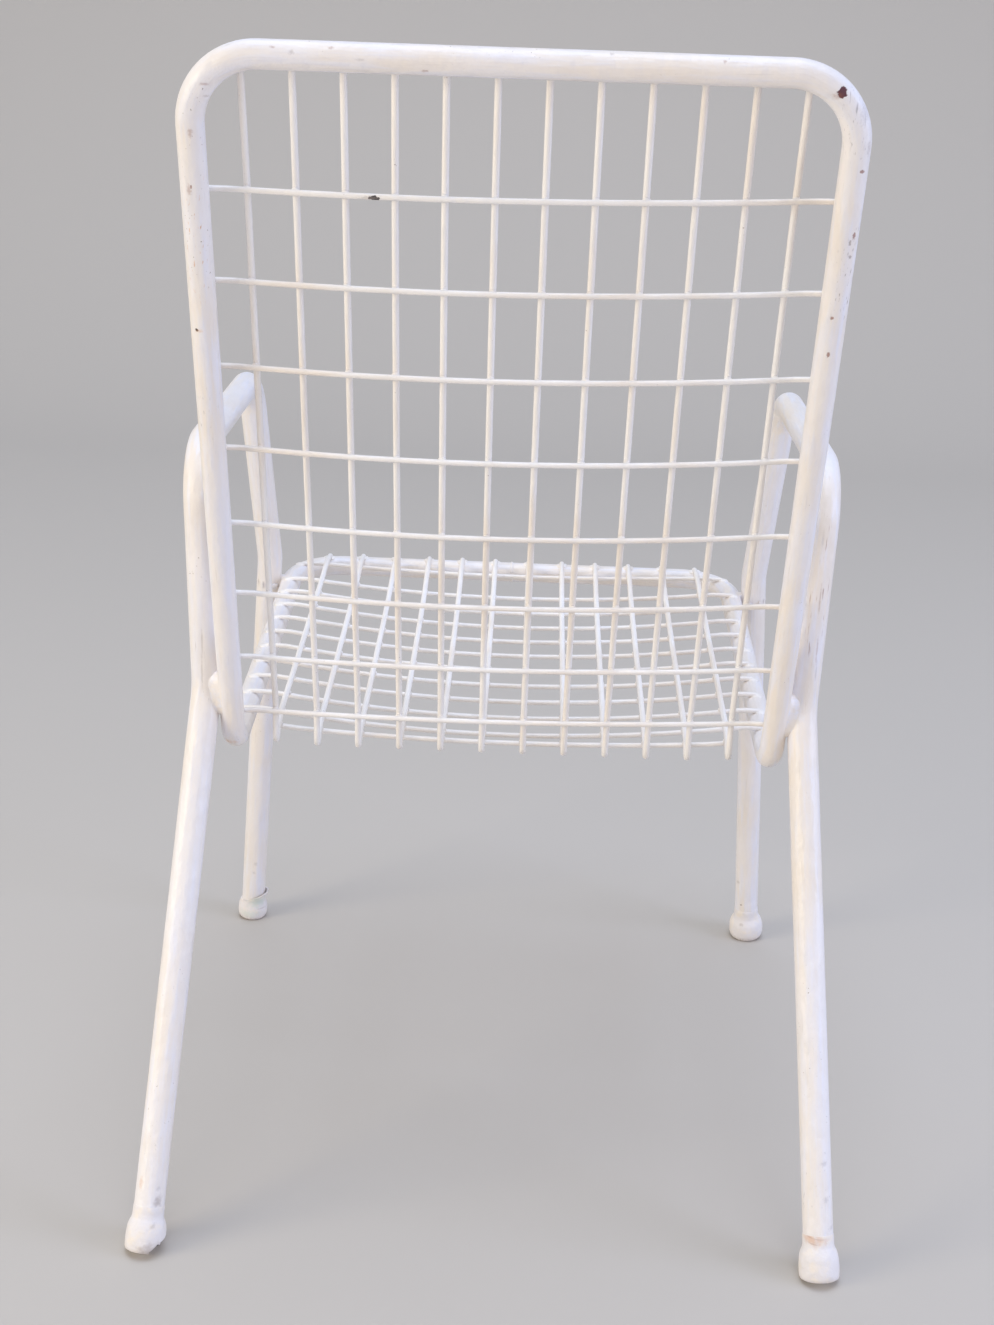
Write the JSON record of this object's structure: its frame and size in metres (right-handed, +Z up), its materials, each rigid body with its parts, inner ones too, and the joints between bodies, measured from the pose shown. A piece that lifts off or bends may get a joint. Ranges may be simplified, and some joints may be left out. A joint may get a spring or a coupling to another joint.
{
  "type": "metal wire lawn chair",
  "caption": "High-backed outdoor armchair of bent steel tube: a looped frame carries a dished wire mesh seat and back between side tubes that form the legs and arms.",
  "frame": {"origin": "on the floor under the middle of the whole chair", "axes": "+Z up, the chair faces -Y, +X is the sitter's left"},
  "size_m": [0.595, 0.6286, 0.9482],
  "materials": {
    "white_enamelled_steel": "brushed-on white enamel, semi-gloss and worn",
    "foot_rubber": "white rubber, painted over, dull"
  },
  "bodies": {
    "root": {"seat_back_frame": "white_enamelled_steel", "left_leg_arm_tube": "white_enamelled_steel", "right_leg_arm_tube": "white_enamelled_steel", "back_cross_wire_1": "white_enamelled_steel", "back_cross_wire_2": "white_enamelled_steel", "back_cross_wire_3": "white_enamelled_steel", "back_cross_wire_4": "white_enamelled_steel", "back_cross_wire_5": "white_enamelled_steel", "back_cross_wire_6": "white_enamelled_steel", "back_cross_wire_7": "white_enamelled_steel", "back_cross_wire_8": "white_enamelled_steel", "seat_cross_wire_01": "white_enamelled_steel", "seat_cross_wire_02": "white_enamelled_steel", "seat_cross_wire_03": "white_enamelled_steel", "seat_cross_wire_04": "white_enamelled_steel", "seat_cross_wire_05": "white_enamelled_steel", "seat_cross_wire_06": "white_enamelled_steel", "seat_cross_wire_07": "white_enamelled_steel", "seat_cross_wire_08": "white_enamelled_steel", "seat_cross_wire_09": "white_enamelled_steel", "seat_cross_wire_10": "white_enamelled_steel", "seat_cross_wire_11": "white_enamelled_steel", "seat_cross_wire_12": "white_enamelled_steel", "long_wire_01": "white_enamelled_steel", "long_wire_02": "white_enamelled_steel", "long_wire_03": "white_enamelled_steel", "long_wire_04": "white_enamelled_steel", "long_wire_05": "white_enamelled_steel", "long_wire_06": "white_enamelled_steel", "long_wire_07": "white_enamelled_steel", "long_wire_08": "white_enamelled_steel", "long_wire_09": "white_enamelled_steel", "long_wire_10": "white_enamelled_steel", "long_wire_11": "white_enamelled_steel", "long_wire_12": "white_enamelled_steel", "foot_cap_rear_left": "foot_rubber", "foot_cap_rear_right": "foot_rubber", "foot_cap_front_left": "foot_rubber", "foot_cap_front_right": "foot_rubber"}
  },
  "joints": []
}
